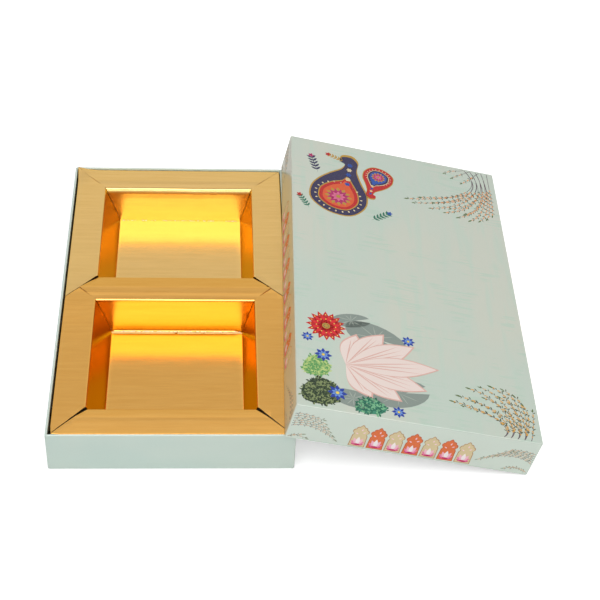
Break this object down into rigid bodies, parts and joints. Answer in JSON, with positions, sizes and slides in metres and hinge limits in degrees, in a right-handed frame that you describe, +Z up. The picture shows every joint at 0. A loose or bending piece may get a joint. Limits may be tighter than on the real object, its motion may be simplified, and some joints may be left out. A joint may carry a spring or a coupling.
{
  "type": "lidded gift box with two cavities",
  "caption": "Low rectangular gift box: paper-wrapped board tray with folded gold inserts that form cavities, and a full-depth lift-off lid leaning on its side.",
  "frame": {"origin": "centre of the tray's underside, on the surface that the box stands on", "axes": "+X to the right, towards the leaning lid; +Y to the far cavity; +Z up"},
  "size_m": [0.3495, 0.3095, 0.0679],
  "materials": {
    "mint_paper": "gloss laminated",
    "printed_paper": "gloss laminated, printed",
    "lining_paper": "matt",
    "grey_board": "raw board",
    "tape_paper": "matt kraft",
    "gold_board": "metallised, finely brushed"
  },
  "bodies": {
    "base": {"base_board": "grey_board", "base_corner_stay_front_left": "tape_paper", "base_corner_stay_front_right": "tape_paper", "base_corner_stay_back_left": "tape_paper", "base_corner_stay_back_right": "tape_paper", "base_wrap": "mint_paper", "base_lining": "lining_paper", "far_insert": "gold_board", "near_insert": "gold_board"},
    "lid": {"lid_board": "grey_board", "lid_corner_stay_front_left": "tape_paper", "lid_corner_stay_front_right": "tape_paper", "lid_corner_stay_back_left": "tape_paper", "lid_corner_stay_back_right": "tape_paper", "lid_wrap": "printed_paper", "lid_lining": "lining_paper"}
  },
  "joints": [
    {"name": "lid_lift", "type": "slide", "parent": "base", "child": "lid", "axis": [0, 0, 1], "range_m": [0, 0.12]}
  ]
}
